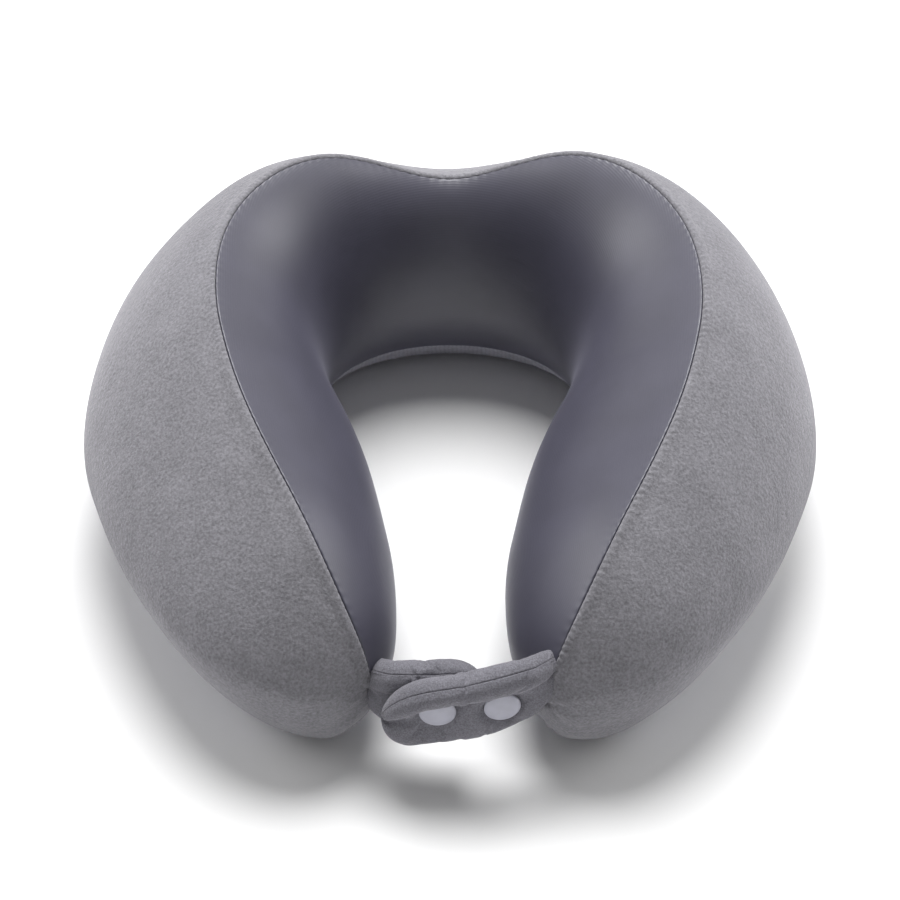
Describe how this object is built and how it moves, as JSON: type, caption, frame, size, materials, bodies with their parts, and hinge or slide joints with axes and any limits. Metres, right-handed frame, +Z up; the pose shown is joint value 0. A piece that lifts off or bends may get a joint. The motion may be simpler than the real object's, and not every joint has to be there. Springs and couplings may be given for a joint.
{
  "type": "u shaped neck pillow",
  "caption": "Soft u shaped neck pillow with raised side lobes, a thin low back, a zipped two-fabric cover over foam, and snap straps that close the arm tips in front.",
  "frame": {"origin": "on the surface that the pillow rests on, under the middle of its bounding box", "axes": "+Z up, -Y to the open end between the arm tips, +X to the wearer's left arm"},
  "size_m": [0.299, 0.3037, 0.1284],
  "materials": {
    "foam": "open-cell memory foam",
    "liner_knit": "thin white knit",
    "velour": "grey short-pile velour",
    "spandex": "smooth grey stretch jersey",
    "base_knit": "grey knit",
    "label_satin": "white satin ribbon, blank",
    "zip_tape": "woven polyester tape",
    "zip_coil": "nylon coil",
    "zip_metal": "enamelled zinc",
    "padding": "polyester wadding",
    "snap_plastic": "moulded translucent plastic"
  },
  "bodies": {
    "pillow": {"foam_core": "foam", "foam_liner": "liner_knit", "velour_outer_panel": "velour", "spandex_inner_panel": "spandex", "base_panel": "base_knit", "care_label": "label_satin", "zip_tape_upper": "zip_tape", "zip_tape_lower": "zip_tape", "zip_teeth_upper": "zip_coil", "zip_teeth_lower": "zip_coil", "zip_stop_left": "zip_metal", "zip_stop_right": "zip_metal"},
    "front_strap": {"front_strap_face": "velour", "front_strap_padding": "padding", "front_strap_back": "velour", "front_cap_outer": "snap_plastic", "front_cap_inner": "snap_plastic", "front_socket_outer": "snap_plastic", "front_socket_inner": "snap_plastic"},
    "rear_strap": {"rear_strap_face": "velour", "rear_strap_padding": "padding", "rear_strap_back": "velour", "rear_stud": "snap_plastic", "rear_cap": "snap_plastic"},
    "zip_slider": {"zip_slider": "zip_metal"},
    "zip_pull_tab": {"zip_pull_tab": "zip_metal"}
  },
  "joints": [
    {"name": "front_strap_swing", "type": "hinge", "parent": "pillow", "child": "front_strap", "pos_m": [0.035, -0.14228, 0.0425], "axis": [0, 0, 1], "range_deg": [0, 100]},
    {"name": "rear_strap_swing", "type": "hinge", "parent": "pillow", "child": "rear_strap", "pos_m": [-0.02815, -0.135, 0.0395], "axis": [0, 0, 1], "range_deg": [0, 40]},
    {"name": "zip_travel", "type": "hinge", "parent": "pillow", "child": "zip_slider", "pos_m": [0, 0.0016, 0.0162], "axis": [0, 0, 1], "range_deg": [0, 100]},
    {"name": "zip_pull_flip", "type": "hinge", "parent": "zip_slider", "child": "zip_pull_tab", "pos_m": [0.10722, 0.09157, 0.01449], "axis": [0.4883, 0.4097, 0.7705], "range_deg": [-165, 0]}
  ]
}
